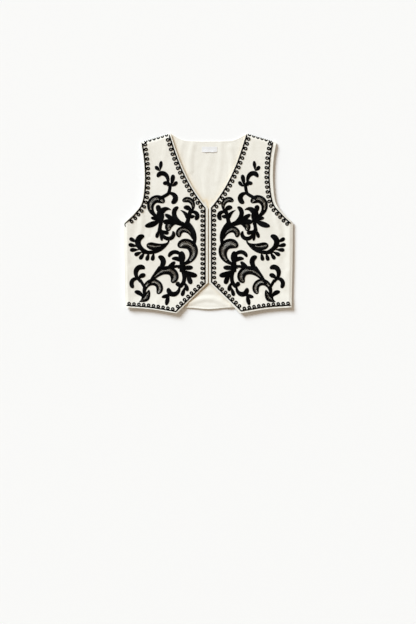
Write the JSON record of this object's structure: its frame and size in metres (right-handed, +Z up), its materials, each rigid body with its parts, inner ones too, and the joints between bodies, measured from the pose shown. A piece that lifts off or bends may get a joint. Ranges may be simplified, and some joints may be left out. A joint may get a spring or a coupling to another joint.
{
  "type": "embroidered vest",
  "caption": "Short sleeveless cream cloth vest laid flat, with a V neck, pointed fronts, black scroll embroidery and looped cord braid along the edges.",
  "frame": {"origin": "centre of the vest's outline, on the plane that the back panel lies on", "axes": "+X towards the wearer's left side, +Y from the hem to the neck, +Z up out of the surface through the fronts"},
  "size_m": [0.482, 0.514, 0.0132],
  "materials": {
    "cream_cloth": "matt woven wool",
    "black_thread": "satin cotton thread",
    "label_tape": "smooth woven tape"
  },
  "bodies": {
    "root": {"back_panel": "cream_cloth", "front_left": "cream_cloth", "front_right": "cream_cloth", "embroidery_left": "black_thread", "embroidery_right": "black_thread", "braid_left": "black_thread", "braid_right": "black_thread", "label": "label_tape"}
  },
  "joints": []
}
